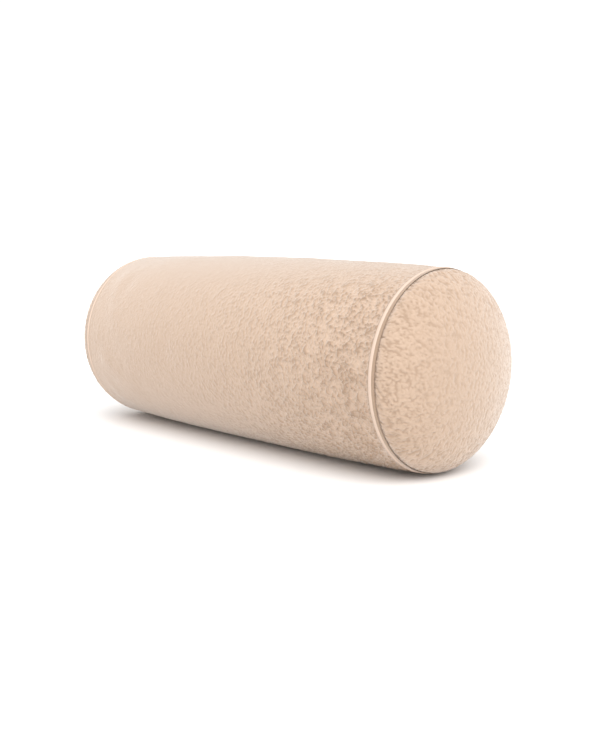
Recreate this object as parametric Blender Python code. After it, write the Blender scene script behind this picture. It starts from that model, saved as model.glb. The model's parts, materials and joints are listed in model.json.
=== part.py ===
"""Bolster pillow with a removable zipped cover, lying on its side along X.

The fleece cover is a body panel and two end panels, sewn together round a corded piping at each
end. A coil zip runs along its back. Inside is an insert: a foam core, a wadding wrap and two
wadding pads in a cotton casing. Metres, +Z up. The origin is the middle of the footprint, the
front of the pillow faces -Y, and the zip is on the +Y side.
"""

import math

import bmesh
import bpy
from mathutils import Vector

# Driving dimensions
SEAM_HALF_LENGTH = 0.222  # from the middle of the pillow to the piping at either end
MID_RADIUS = 0.100  # the pillow is a little fatter in the middle than at its seams
END_RADIUS = 0.096
BARREL_POWER = 3.0
DOME_HEIGHT = 0.046  # how far each end bulges past its piping
AXIS_HEIGHT = 0.097  # less than MID_RADIUS, so the underside is pressed flat

PANEL = 0.0030  # fleece, pile included
SEAM_PLY = 0.0020  # fleece squeezed flat in the seam allowance
SEAM_TIP_RADIUS = 0.0840
CASING = 0.0008
GAP = 0.0003  # between pieces that touch on the real pillow
EASE = 0.0005  # between the cover and the insert

PIPING_RADIUS = 0.0030
PIPING_CENTRE_RADIUS = 0.0928
PIPING_CLOTH = 0.0006
CORD_RADIUS = 0.0021

FOAM_RADIUS = 0.0780
FOAM_END_INSET = 0.0030
CASING_TIP_RADIUS = 0.0760

COVER_STEPS = 36
INSERT_STEPS = 18
DOME_POINTS = 6  # every layer of a dome has these points, so that its layers nest
DOME_START = math.radians(14)

# The zip is built flat in its own frame: X along it, Y down the cover, Z out from the pillow's axis
ZIP_ANGLE = math.radians(110)  # round the pillow from its underside, up the back
ZIP_FACET = 0.0970  # the cover is drawn flat along the zip, this far from the axis
SLOT_HALF_LENGTH = 0.180
SLOT_HALF_WIDTH = 0.0065
TAPE_HALF_LENGTH = 0.187
TAPE_EDGE = 0.0006  # half the gap that the slider's neck runs in
TAPE_WIDTH = 0.0130
TAPE_LEVEL = 0.0922
TAPE = 0.0007
COIL_LEVEL = TAPE_LEVEL + TAPE + GAP
COIL_WIDTH = 0.0030
COIL_HEIGHT = 0.0020
COIL_ROUNDING = 0.0007
COIL_HALF_LENGTH = 0.176
INSERT_FACET = 0.0900  # the insert gives way this far behind the zip

STOP_BAR = 0.0012  # the thickness of each stop's two bars
BOTTOM_STOP_LENGTH = 0.0028
BOTTOM_STOP_HALF_WIDTH = 0.0036
TOP_STOP_LENGTH = 0.0024
TOP_STOP_WIDTH = 0.0034
TOP_STOP_PARTING = 0.0001

SLIDER_FRONT = -0.1762
SLIDER_LENGTH = 0.0120
SLIDER_FRONT_HALF_WIDTH = 0.0055
SLIDER_REAR_HALF_WIDTH = 0.0048
SLIDER_RUN = 0.0004  # clearance round the coil and the tape
PLATE = 0.0014
NECK_HALF_WIDTH = 0.0003
NECK_INSET = 0.0008
NECK_LENGTH = 0.0030
RAIL = 0.0007
RAIL_FRONT_INSET = 0.0020
RAIL_REAR_INSET = 0.0018
TAB_PIVOT = SLIDER_FRONT + 0.0058
CROWN_HALF_LENGTH = 0.0038
CROWN_HALF_WIDTH = 0.0010
CROWN_CLEAR_HEIGHT = 0.0020
CROWN_TOP = 0.0008
CROWN_CORNER = 0.0010
CROWN_LEG = 0.0012
TAB_LENGTH = 0.0270
TAB_HALF_WIDTH = 0.0029
TAB = 0.0010
TAB_BAR_RADIUS = 0.0006
TAB_WINDOW_LENGTH = 0.0054
TAB_EYE_RADIUS = 0.0013

LABEL_START = 0.1985
LABEL_WIDTH = 0.015
LABEL_PLY = 0.0004
LABEL_AIR = 0.0004  # between the two plies of the fold

COLOURS = {
    "fleece": (0.80, 0.66, 0.54),
    "satin": (0.86, 0.77, 0.70),
    "cotton": (0.90, 0.88, 0.83),
    "zip_cloth": (0.78, 0.66, 0.55),
    "nylon": (0.84, 0.74, 0.64),
    "metal": (0.72, 0.70, 0.66),
    "wadding": (0.93, 0.93, 0.92),
    "foam": (0.93, 0.87, 0.66),
    "label": (0.92, 0.91, 0.88),
}
ROUGHNESS = {"satin": 0.45, "nylon": 0.4, "metal": 0.3, "label": 0.5}


def outer_radius(x):
    """The cover's radius at x, before the floor and the zip press it flat."""
    along = min(abs(x) / SEAM_HALF_LENGTH, 1.0)
    return END_RADIUS + (MID_RADIUS - END_RADIUS) * (1 - along**BARREL_POWER)


def from_seam(x, radius):
    """A profile point, from its distance past the seam and its radius, both in millimetres."""
    return SEAM_HALF_LENGTH + x / 1000, radius / 1000


def barrel(depth, last, stations=(0.0, 0.45, 0.72, 0.9)):
    """Points along one half of the barrel, that deep under its surface, from the middle to `last`."""
    places = [last * station for station in stations] + [last]
    return [(x, outer_radius(x) - depth) for x in places]


def dome(depth, points):
    """Points along a domed end, that deep under its surface, from near the seam to the pole."""
    angles = [DOME_START + (math.pi / 2 - DOME_START) * i / (points - 1) for i in range(points)]
    return [
        (
            SEAM_HALF_LENGTH + (DOME_HEIGHT - depth) * math.sin(angle),
            max((END_RADIUS - depth) * math.cos(angle), 0.0) if angle < math.pi / 2 else 0.0,
        )
        for angle in angles
    ]


def both_ends(outer, inner):
    """A whole ring's outline from one half's outer line, middle to tip, and inner line, tip to middle."""
    half = outer + inner
    mirrored = [(-x, radius) for x, radius in reversed(half) if x > 0]
    return half + mirrored


def material(name):
    if name in bpy.data.materials:
        return bpy.data.materials[name]
    made = bpy.data.materials.new(name)
    made.use_nodes = True
    shader = made.node_tree.nodes["Principled BSDF"]
    shader.inputs["Base Color"].default_value = (*COLOURS[name], 1.0)
    shader.inputs["Roughness"].default_value = ROUGHNESS.get(name, 0.9)
    shader.inputs["Metallic"].default_value = 1.0 if name == "metal" else 0.0
    return made


def new_object(name, bm, finish, parent=None):
    """Turns a bmesh into a named object of that finish, with its faces pointing out."""
    bmesh.ops.remove_doubles(bm, verts=bm.verts, dist=1e-6)
    bmesh.ops.recalc_face_normals(bm, faces=bm.faces)
    mesh = bpy.data.meshes.new(name)
    bm.to_mesh(mesh)
    bm.free()
    mesh.shade_smooth()
    mesh.set_sharp_from_angle(angle=math.radians(35))
    made = bpy.data.objects.new(name, mesh)
    made.data.materials.append(material(finish))
    made.parent = parent
    bpy.context.scene.collection.objects.link(made)
    return made


def turned(outline, steps, closed=True):
    """Spins an outline of (x, radius) points about the pillow's axis. Step 0 is the underside."""
    bm = bmesh.new()
    points = [bm.verts.new((x, 0.0, AXIS_HEIGHT - radius)) for x, radius in outline]
    pairs = list(zip(points, points[1:] + points[:1]))
    edges = [bm.edges.new(pair) for pair in (pairs if closed else pairs[:-1])]
    bmesh.ops.spin(
        bm,
        geom=points + edges,
        cent=(0.0, 0.0, AXIS_HEIGHT),
        axis=(1.0, 0.0, 0.0),
        angle=math.tau,
        steps=steps,
        use_merge=True,
    )
    return bm


def settle(bm, facet, deepest=0.006):
    """Presses the outer layers flat on the floor and along the zip, and keeps each as deep as it was."""
    out = Vector((0.0, math.sin(ZIP_ANGLE), -math.cos(ZIP_ANGLE)))
    axis = Vector((0.0, 0.0, AXIS_HEIGHT))
    for vert in bm.verts:
        radial = Vector((0.0, vert.co.y, vert.co.z - AXIS_HEIGHT))
        depth = outer_radius(vert.co.x) - radial.length
        if depth > deepest:
            continue
        vert.co.z = max(vert.co.z, depth)
        over = (vert.co - axis).dot(out) - (facet - depth)
        if over > 0:
            vert.co -= out * over
    bmesh.ops.triangulate(bm, faces=bm.faces, quad_method="SHORT_EDGE")


def block(low, high):
    """A box between two corners."""
    bm = bmesh.new()
    bmesh.ops.create_cube(bm, size=1.0)
    for vert in bm.verts:
        vert.co = Vector(h if c > 0 else l for c, l, h in zip(vert.co, low, high))
    return bm


def plate(outline, level, thickness):
    """A flat outline of (x, y) points, thickened upwards from `level`."""
    bm = bmesh.new()
    face = bm.faces.new([bm.verts.new((x, y, level)) for x, y in outline])
    raised = bmesh.ops.extrude_face_region(bm, geom=[face])
    verts = [v for v in raised["geom"] if isinstance(v, bmesh.types.BMVert)]
    bmesh.ops.translate(bm, verts=verts, vec=(0.0, 0.0, thickness))
    return bm


def modify(obj, operation, other):
    """Joins another object to this one, or cuts it away, and hides the other."""
    boolean = obj.modifiers.new(operation.title(), "BOOLEAN")
    boolean.operation = operation
    boolean.solver = "EXACT"
    boolean.object = other
    other.hide_render = True
    other.display_type = "WIRE"


def ends(name, outline, steps, finish, closed=True):
    """The same turned piece at both ends of the pillow."""
    for side, sign in (("right", 1), ("left", -1)):
        profile = [(sign * x, radius) for x, radius in outline]
        new_object(f"{name}_{side}", turned(profile, steps, closed), finish)


def cover_body_panel():
    """The tube of fleece, with its edges turned in at both seams and a slot left open for the zip."""
    shoulder = SEAM_HALF_LENGTH - 0.010
    outer = barrel(0.0, shoulder)
    round_the_piping = ((-6.2, 95.9), (-3.9, 94.1), (-3.5, 92.2), (-2.3, 89.9), (-1.05, 89.1))
    outer += [from_seam(*p) for p in round_the_piping]
    tip = SEAM_TIP_RADIUS * 1000
    outer += [from_seam(-1.05, tip), from_seam(-1.05 - SEAM_PLY * 1000, tip)]
    inner = [from_seam(-3.05, 88.4), from_seam(-5.6, 91.2)]
    inner += list(reversed(barrel(PANEL, shoulder)))
    bm = turned(both_ends(outer, inner), COVER_STEPS)
    settle(bm, ZIP_FACET)
    panel = new_object("cover_body_panel", bm, "fleece")

    reach = 0.01
    slot = new_object(
        "zip_slot_cutter",
        block(
            (-SLOT_HALF_LENGTH, -SLOT_HALF_WIDTH, ZIP_FACET - reach),
            (SLOT_HALF_LENGTH, SLOT_HALF_WIDTH, ZIP_FACET + reach),
        ),
        "fleece",
        zip_frame,
    )
    modify(panel, "DIFFERENCE", slot)


def cover_end_panels():
    """The two round fleece ends, domed by the filling, with their edges turned in at the seam."""
    flange = [from_seam(1.05, SEAM_TIP_RADIUS * 1000), from_seam(1.05, 89.1), from_seam(2.3, 89.9)]
    skin = [from_seam(3.5, 92.2), from_seam(3.9, 94.0), from_seam(6.6, 95.2)] + dome(0.0, DOME_POINTS + 2)
    lining = list(reversed(dome(PANEL, DOME_POINTS))) + [from_seam(6.7, 91.85), from_seam(4.9, 90.5)]
    lining += [from_seam(3.05, 88.4), from_seam(3.05, SEAM_TIP_RADIUS * 1000)]
    ends("cover_end_panel", flange + skin + lining, COVER_STEPS, "fleece")


def piping():
    """At each seam, a strip of satin folded round a cotton cord, its two edges caught in the seam."""
    middle = PIPING_CENTRE_RADIUS

    def loop(radius, mouth, points):
        start = math.asin(mouth / radius)
        angles = [start + (math.tau - 2 * start) * i / (points - 1) for i in range(points)]
        return [(SEAM_HALF_LENGTH - radius * math.sin(a), middle - radius * math.cos(a)) for a in angles]

    half_slit = GAP / 2
    outside = loop(PIPING_RADIUS, half_slit + PIPING_CLOTH, 8)
    inside = loop(PIPING_RADIUS - PIPING_CLOTH, half_slit, 7)
    left_edge = [(SEAM_HALF_LENGTH - half_slit - PIPING_CLOTH, SEAM_TIP_RADIUS)]
    right_edge = [
        (SEAM_HALF_LENGTH + half_slit + PIPING_CLOTH, SEAM_TIP_RADIUS),
        (SEAM_HALF_LENGTH + half_slit, SEAM_TIP_RADIUS),
    ]
    last = [(SEAM_HALF_LENGTH - half_slit, SEAM_TIP_RADIUS)]
    strip = left_edge + outside + right_edge + list(reversed(inside)) + last
    ends("piping_sleeve", strip, COVER_STEPS, "satin")

    sides = 6
    cord = [
        (
            SEAM_HALF_LENGTH + CORD_RADIUS * math.sin(math.tau * i / sides),
            middle + CORD_RADIUS * math.cos(math.tau * i / sides),
        )
        for i in range(sides)
    ]
    ends("piping_cord", cord, COVER_STEPS, "cotton")


def inner_casing():
    """The insert's cotton bag: a tube and two round ends, sewn edge to edge behind the piping seam."""
    under = PANEL + EASE
    shoulder = SEAM_HALF_LENGTH - 0.012
    tip = CASING_TIP_RADIUS * 1000
    outer = barrel(under, shoulder)
    outer += [from_seam(*p) for p in ((-7.6, 89.4), (-4.2, 85.6), (-2.8, 83.0), (-0.3, 82.4), (-0.3, tip))]
    inner = [from_seam(*p) for p in ((-1.1, tip), (-1.1, 81.6), (-3.3, 82.2), (-5.0, 85.6), (-8.1, 88.7))]
    inner += list(reversed(barrel(under + CASING, shoulder)))
    bm = turned(both_ends(outer, inner), INSERT_STEPS)
    settle(bm, INSERT_FACET + under)
    new_object("inner_casing_tube", bm, "cotton")

    valley = [from_seam(*p) for p in ((0.3, tip), (0.3, 82.4), (2.8, 83.0), (4.2, 85.6))]
    back = [from_seam(*p) for p in ((5.0, 85.6), (3.3, 82.2), (1.1, 81.6), (1.1, tip))]
    bag = valley + dome(under, DOME_POINTS) + list(reversed(dome(under + CASING, DOME_POINTS)))
    ends("inner_casing_end", bag + back, INSERT_STEPS, "cotton")


def filling():
    """A foam core, a sheet of wadding wrapped once round it, and a wadding pad at each end."""
    foam_end = SEAM_HALF_LENGTH - FOAM_END_INSET
    core = [(-foam_end, 0.0), (-foam_end, FOAM_RADIUS), (foam_end, FOAM_RADIUS), (foam_end, 0.0)]
    new_object("foam_core", turned(core, INSERT_STEPS, closed=False), "foam")

    under = PANEL + EASE + CASING + EASE
    bore = FOAM_RADIUS + GAP
    outer = barrel(under, SEAM_HALF_LENGTH - 0.0125)
    outer += [from_seam(*p) for p in ((-8.6, 88.0), (-5.7, 85.0), (-3.8, 81.6), (-1.6, 81.0))]
    inner = [(SEAM_HALF_LENGTH - 0.0016, bore)]
    bm = turned(both_ends(outer, inner), INSERT_STEPS)
    settle(bm, INSERT_FACET + PANEL + EASE)
    wrap = new_object("wadding_wrap", bm, "wadding")
    butt_joint = new_object(
        "butt_joint_cutter",
        block(
            (-1.1 * SEAM_HALF_LENGTH, -GAP, AXIS_HEIGHT + 0.5 * FOAM_RADIUS),
            (1.1 * SEAM_HALF_LENGTH, GAP, AXIS_HEIGHT + 1.1 * MID_RADIUS),
        ),
        "wadding",
    )
    modify(wrap, "DIFFERENCE", butt_joint)

    pad = [(foam_end + GAP, 0.0)]
    pad += [from_seam(*p) for p in ((-2.7, 75.6), (1.6, 75.6), (1.6, 81.0), (3.6, 81.6), (5.6, 85.0))]
    ends("wadding_pad", pad + dome(under, DOME_POINTS), INSERT_STEPS, "wadding", closed=False)


def zip_tapes_and_coils():
    """Two woven tapes behind the slot, each with a nylon coil along its inner edge."""
    for name, side in (("upper", -1), ("lower", 1)):

        def strip(half_length, width, level, height):
            inner, outer = side * TAPE_EDGE, side * (TAPE_EDGE + width)
            low, high = min(inner, outer), max(inner, outer)
            return block((-half_length, low, level), (half_length, high, level + height))

        tape = strip(TAPE_HALF_LENGTH, TAPE_WIDTH, TAPE_LEVEL, TAPE)
        new_object(f"zip_tape_{name}", tape, "zip_cloth", zip_frame)
        coil_bar = strip(COIL_HALF_LENGTH, COIL_WIDTH, COIL_LEVEL, COIL_HEIGHT)
        coil = new_object(f"zip_coil_{name}", coil_bar, "nylon", zip_frame)
        rounding = coil.modifiers.new("Rounding", "BEVEL")
        rounding.width = COIL_ROUNDING
        rounding.segments = 2


def clip(name, start, length, low, high, wall_low, wall_high):
    """A clip crimped over a tape's edge: a bar above the tape, a bar below it and a wall between."""
    end = start + length
    top = TAPE_LEVEL + TAPE + GAP
    bottom = TAPE_LEVEL - GAP
    above = block((start, low, top), (end, high, top + STOP_BAR))
    below = block((start, low, bottom - STOP_BAR), (end, high, bottom))
    wall = block((start, wall_low, bottom - STOP_BAR / 2), (end, wall_high, top + STOP_BAR / 2))
    stop = new_object(name, above, "metal", zip_frame)
    for part, bm in (("below", below), ("wall", wall)):
        modify(stop, "UNION", new_object(f"{name}_{part}", bm, "metal", zip_frame))


def zip_stops():
    """One stop holds both tapes together at the far end, and one on each tape stops the closed slider."""
    wall = NECK_HALF_WIDTH
    past_the_coils = COIL_HALF_LENGTH + 0.0005
    wide = BOTTOM_STOP_HALF_WIDTH
    clip("zip_bottom_stop", past_the_coils, BOTTOM_STOP_LENGTH, -wide, wide, -wall, wall)
    before_the_slider = SLIDER_FRONT - TOP_STOP_LENGTH - 0.0005
    near, far = TOP_STOP_PARTING / 2, TOP_STOP_WIDTH
    clip("zip_top_stop_upper", before_the_slider, TOP_STOP_LENGTH, -far, -near, -wall, -near)
    clip("zip_top_stop_lower", before_the_slider, TOP_STOP_LENGTH, near, far, near, wall)


def slider_outline(front_half, rear_half):
    """The slider's plan: wide shoulders where the tapes part, narrower where they leave it closed."""
    front, rear = SLIDER_FRONT, SLIDER_FRONT + SLIDER_LENGTH
    corner = 0.0016
    half = [
        (front, front_half - corner),
        (front + corner, front_half),
        (front + 0.38 * SLIDER_LENGTH, front_half),
        (rear - corner, rear_half),
        (rear, rear_half - corner),
    ]
    return [(x, -y) for x, y in half] + [(x, y) for x, y in reversed(half)]


def zip_slider():
    """Two plates joined by a neck that runs between the coils, with a crown on top for the pull tab."""
    above = COIL_LEVEL + COIL_HEIGHT + SLIDER_RUN
    below = TAPE_LEVEL - SLIDER_RUN
    outline = slider_outline(SLIDER_FRONT_HALF_WIDTH, SLIDER_REAR_HALF_WIDTH)
    slider = new_object("zip_slider_body", plate(outline, above, PLATE), "metal", zip_frame)
    base = new_object("slider_base", plate(outline, below - PLATE, PLATE), "metal", zip_frame)
    modify(slider, "UNION", base)

    sink = 0.0005  # how far the joined parts reach into the plates
    neck_front = SLIDER_FRONT + NECK_INSET
    neck = block(
        (neck_front, -NECK_HALF_WIDTH, below - sink),
        (neck_front + NECK_LENGTH, NECK_HALF_WIDTH, above + sink),
    )
    modify(slider, "UNION", new_object("slider_neck", neck, "metal", zip_frame))

    rail_inner = TAPE_EDGE + COIL_WIDTH + SLIDER_RUN
    rail_level = TAPE_LEVEL + TAPE + SLIDER_RUN
    for side in (-1, 1):
        low, high = sorted((side * rail_inner, side * (rail_inner + RAIL)))
        rail = block(
            (SLIDER_FRONT + RAIL_FRONT_INSET, low, rail_level),
            (SLIDER_FRONT + SLIDER_LENGTH - RAIL_REAR_INSET, high, above + sink),
        )
        modify(slider, "UNION", new_object(f"slider_rail_{side}", rail, "metal", zip_frame))

    foot = above + PLATE - sink
    arch_level = above + PLATE + CROWN_CLEAR_HEIGHT
    half = [
        (CROWN_HALF_LENGTH - CROWN_CORNER, arch_level + CROWN_TOP),
        (CROWN_HALF_LENGTH, arch_level),
        (CROWN_HALF_LENGTH, foot),
        (CROWN_HALF_LENGTH - CROWN_LEG, foot),
        (CROWN_HALF_LENGTH - CROWN_LEG, arch_level),
    ]
    crown = half + [(-x, z) for x, z in reversed(half)]
    arch = bmesh.new()
    face = arch.faces.new([arch.verts.new((TAB_PIVOT + x, -CROWN_HALF_WIDTH, z)) for x, z in crown])
    swept = bmesh.ops.extrude_face_region(arch, geom=[face])
    verts = [v for v in swept["geom"] if isinstance(v, bmesh.types.BMVert)]
    bmesh.ops.translate(arch, verts=verts, vec=(0.0, 2 * CROWN_HALF_WIDTH, 0.0))
    modify(slider, "UNION", new_object("slider_crown", arch, "metal", zip_frame))


def zip_pull_tab():
    """A flat tab whose bar lies under the slider's crown and turns there. Its origin is on that hinge."""
    level = COIL_LEVEL + COIL_HEIGHT + SLIDER_RUN + PLATE + SLIDER_RUN + TAB_BAR_RADIUS
    hinge = bpy.data.objects.new("pull_tab_hinge", None)
    hinge.location = (TAB_PIVOT, 0.0, level)
    hinge.parent = zip_frame
    bpy.context.scene.collection.objects.link(hinge)

    end_points = 6
    end_radius = TAB_HALF_WIDTH
    centre = TAB_LENGTH - end_radius
    turn = [math.pi * (i / (end_points - 1) - 0.5) for i in range(end_points)]
    rounded = [(centre + end_radius * math.cos(a), end_radius * math.sin(a)) for a in turn]
    blade = [(0.0, TAB_HALF_WIDTH), (0.0, -TAB_HALF_WIDTH)] + rounded
    tab = new_object("zip_pull_tab", plate(blade, -TAB / 2, TAB), "metal", hinge)

    window_half_width = CROWN_HALF_WIDTH + 0.0005
    past_the_bar = -10 * TAB
    window = block(
        (past_the_bar, -window_half_width, -TAB),
        (TAB_WINDOW_LENGTH, window_half_width, TAB),
    )
    modify(tab, "DIFFERENCE", new_object("tab_window", window, "metal", hinge))
    eye = bmesh.new()
    bmesh.ops.create_cone(
        eye,
        segments=10,
        radius1=TAB_EYE_RADIUS,
        radius2=TAB_EYE_RADIUS,
        depth=3 * TAB,
        cap_ends=True,
    )
    bmesh.ops.translate(eye, verts=eye.verts, vec=(centre, 0.0, 0.0))
    modify(tab, "DIFFERENCE", new_object("tab_eye", eye, "metal", hinge))
    bar = bmesh.new()
    bmesh.ops.create_cone(
        bar,
        segments=10,
        radius1=TAB_BAR_RADIUS,
        radius2=TAB_BAR_RADIUS,
        depth=2 * TAB_HALF_WIDTH,
        cap_ends=True,
    )
    bmesh.ops.rotate(bar, verts=bar.verts, matrix=Vector((0, 1, 0)).to_track_quat("Z", "Y").to_matrix())
    modify(tab, "UNION", new_object("tab_bar", bar, "metal", hinge))


def care_label():
    """A plain folded ribbon, caught in the cover's long seam past the end of the zip."""
    first = outer_radius(LABEL_START) + EASE
    angles = [math.radians(a) for a in (109.0, 100.0, 92.0)]
    second = first + LABEL_PLY + LABEL_AIR

    def at(angle, radius):
        return radius * math.sin(angle), AXIS_HEIGHT - radius * math.cos(angle)

    inner_ply = [at(a, first) for a in angles]
    fold = [at(math.radians(91.2), (first + second + LABEL_PLY) / 2)]
    outer_ply = [at(a, second + LABEL_PLY) for a in reversed(angles)]
    outer_back = [at(a, second) for a in angles]
    inner_back = [at(a, first + LABEL_PLY) for a in reversed(angles)]
    bm = bmesh.new()
    outline = inner_ply + fold + outer_ply + outer_back + inner_back
    face = bm.faces.new([bm.verts.new((LABEL_START, y, z)) for y, z in outline])
    swept = bmesh.ops.extrude_face_region(bm, geom=[face])
    verts = [v for v in swept["geom"] if isinstance(v, bmesh.types.BMVert)]
    bmesh.ops.translate(bm, verts=verts, vec=(LABEL_WIDTH, 0.0, 0.0))
    new_object("care_label", bm, "label")


for old in list(bpy.data.objects):
    bpy.data.objects.remove(old)

zip_frame = bpy.data.objects.new("zip_frame", None)
zip_frame.location = (0.0, 0.0, AXIS_HEIGHT)
zip_frame.rotation_euler = (ZIP_ANGLE - math.pi, 0.0, 0.0)
bpy.context.scene.collection.objects.link(zip_frame)

cover_body_panel()
cover_end_panels()
piping()
inner_casing()
filling()
zip_tapes_and_coils()
zip_stops()
zip_slider()
zip_pull_tab()
care_label()
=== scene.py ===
"""The bolster pillow's looks: a curly fleece cover with piped seams and a back zip, over a stuffed insert."""

import json
import math

import bmesh
import bpy
import numpy as np
from mathutils import Matrix, Vector, noise

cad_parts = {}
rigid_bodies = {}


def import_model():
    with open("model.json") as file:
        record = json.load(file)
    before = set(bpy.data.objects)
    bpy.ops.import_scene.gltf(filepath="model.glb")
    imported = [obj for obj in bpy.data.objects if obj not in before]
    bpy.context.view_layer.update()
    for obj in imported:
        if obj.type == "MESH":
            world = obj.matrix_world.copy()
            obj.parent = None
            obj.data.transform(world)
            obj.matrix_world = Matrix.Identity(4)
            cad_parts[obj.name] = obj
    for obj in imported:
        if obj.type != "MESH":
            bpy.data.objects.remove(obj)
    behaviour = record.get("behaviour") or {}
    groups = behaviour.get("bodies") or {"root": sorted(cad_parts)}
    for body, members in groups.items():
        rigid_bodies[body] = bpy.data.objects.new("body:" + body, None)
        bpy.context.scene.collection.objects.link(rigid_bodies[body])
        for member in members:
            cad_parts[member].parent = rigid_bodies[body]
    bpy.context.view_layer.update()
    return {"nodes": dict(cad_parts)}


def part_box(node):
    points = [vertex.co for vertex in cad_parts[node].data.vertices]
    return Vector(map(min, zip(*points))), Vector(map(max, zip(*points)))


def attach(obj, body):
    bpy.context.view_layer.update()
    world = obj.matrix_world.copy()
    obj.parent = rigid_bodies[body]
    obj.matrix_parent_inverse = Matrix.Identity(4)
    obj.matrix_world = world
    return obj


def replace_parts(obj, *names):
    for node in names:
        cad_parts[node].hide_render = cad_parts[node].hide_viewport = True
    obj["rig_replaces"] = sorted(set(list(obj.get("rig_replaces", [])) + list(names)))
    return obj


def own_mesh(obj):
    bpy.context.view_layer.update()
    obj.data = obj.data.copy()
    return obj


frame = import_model()

# The pillow's form. The insert fills the cover tight, so the cover has one smooth shape: a barrel
# between the two piped seams, a dome past each, and a flat where it lies. It guides every soft piece.
panel_low, panel_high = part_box("cover_body_panel")
piping_low, piping_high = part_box("piping_sleeve_right")
dome_low, dome_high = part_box("cover_end_panel_right")

SEAM = (piping_low[0] + piping_high[0]) / 2
AXIS = (dome_low[2] + dome_high[2]) / 2
MIDDLE_RADIUS = panel_high[1]
SEAM_RADIUS = dome_high[1] + 0.0008
DOME = dome_high[0] - SEAM
PIPING = (piping_high[0] - piping_low[0]) / 2
PIPING_RADIUS = piping_high[1] - PIPING
ZIP_ANGLE = math.radians(110)  # round the pillow from its underside, up the back
ZIP_FACET = 0.097  # the cover lies flat along the zip, this far from the axis


def barrel_radius(x):
    """The cover's radius at x, between the seams."""
    along = np.minimum(np.abs(x) / SEAM, 1.0)
    return SEAM_RADIUS + (MIDDLE_RADIUS - SEAM_RADIUS) * (1 - along**3)


def even_rows(points, count, rounding=0.0012):
    """Rows at equal distances along a line of (x, radius) points, with its corners eased."""
    line = np.array(points, float)
    run = np.concatenate([[0], np.cumsum(np.linalg.norm(np.diff(line, axis=0), axis=1))])
    step = 0.0003
    fine = np.arange(0, run[-1] + step / 2, step)
    dense = np.stack([np.interp(fine, run, line[:, i]) for i in (0, 1)], 1)
    reach = int(3 * rounding / step)
    weights = np.exp(-0.5 * (np.arange(-reach, reach + 1) * step / rounding) ** 2)
    weights /= weights.sum()
    before = 2 * dense[0] - dense[reach:0:-1]
    after = 2 * dense[-1] - dense[-2 : -reach - 2 : -1]
    padded = np.concatenate([before, dense, after])
    eased = np.stack([np.convolve(padded[:, i], weights, "valid") for i in (0, 1)], 1)
    run = np.concatenate([[0], np.cumsum(np.linalg.norm(np.diff(eased, axis=0), axis=1))])
    rows = np.linspace(0, run[-1], count)
    return np.stack([np.interp(rows, run, eased[:, i]) for i in (0, 1)], 1)


def round_the_axis(x, radius, angle):
    """Places in the pillow's frame. Angle 0 is the underside, and it grows up the back."""
    return np.stack([x, radius * np.sin(angle), AXIS - radius * np.cos(angle)], -1)


def settled(places, facet):
    """Presses the outer layers flat on the floor and along the zip, each as deep under the skin as it was."""
    out = np.array([0.0, math.sin(ZIP_ANGLE), -math.cos(ZIP_ANGLE)])
    depth = barrel_radius(places[:, 0]) - np.hypot(places[:, 1], places[:, 2] - AXIS)
    pressed = places.copy()
    pressed[:, 2] = np.maximum(pressed[:, 2], depth)
    over = (pressed - (0, 0, AXIS)) @ out - (facet - depth)
    pressed -= out * np.maximum(over, 0)[:, None]
    return np.where(depth[:, None] > 0.006, places, pressed)


def points_of(piece):
    found = np.empty(len(piece.data.vertices) * 3)
    piece.data.vertices.foreach_get("co", found)
    return found.reshape(-1, 3)


def place_points(piece, places):
    piece.data.vertices.foreach_set("co", np.asarray(places, float).ravel())
    piece.data.update()


def only(piece):
    """Selects one object and makes it the active one."""
    bpy.ops.object.select_all(action="DESELECT")
    piece.select_set(True)
    bpy.context.view_layer.objects.active = piece


def added(name):
    """Names the object that an add operator has just made."""
    piece = bpy.context.view_layer.objects.active
    piece.name = name
    piece.data.name = name
    return piece


# The cover's fleece: a knitted back that carries a thick pile of curled fibres, in a warm beige.
# The stuffing swells it between the seams, which is simulated once, on a plain form of the pillow.
GROUND = 0.0010  # the pile is rooted this far under the cover's outer radius
TURN_DOWN = 0.015  # the fleece starts to turn down to the piping this far from the seam
FORM_DEPTH = 0.0014  # the form starts this much smaller, and the stuffing fills it out
CUT_LARGER = 0.015  # and its cloth is this share larger than it
FORM_VOXEL = 0.006
SWELL_LEAST, SWELL_CAP = 0.0007, 0.0022
ZIP_HALF_LENGTH = 0.185
LIP = 0.0064  # from the middle of the zip to the folded edge of the fleece
PANEL_EDGE = 0.0845  # the radius of a panel's cut edge, inside the piped seam
HELD_AT_SEAM, HELD_AT_ZIP, HELD_AT_FLOOR = 0.006, math.radians(6), 0.0015
PRESSURE, BLOWING_STEPS = 4, 20


def shoulder(side):
    """The fleece from the end of its smooth run down round the piping to the edge of its seam allowance.

    The piping stands a little prouder of the end panel (side 1) than of the body panel (side -1).
    """
    clear = PIPING + 0.0005
    turn = [math.radians(a) for a in ((-22 if side < 0 else 0), 12, 30, 48, 68)]
    past = [(-clear * math.cos(a), -clear * math.sin(a)) for a in turn]
    lower = 0.0014 if side < 0 else 0.0029
    line = [(-0.0062, SEAM_RADIUS - lower - PIPING_RADIUS)] + past + [(-0.0012, PANEL_EDGE - PIPING_RADIUS)]
    return [(SEAM + side * x, PIPING_RADIUS + r) for x, r in line]


def dome_line(depth, count):
    """The dome's outline at that depth under its surface, from near the seam to the pole."""
    angles = np.linspace(math.radians(12), math.pi / 2, count)
    return np.stack(
        [SEAM + (DOME - depth) * np.sin(angles), (SEAM_RADIUS - depth) * np.cos(angles) * (angles < 1.57)], 1
    )


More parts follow.
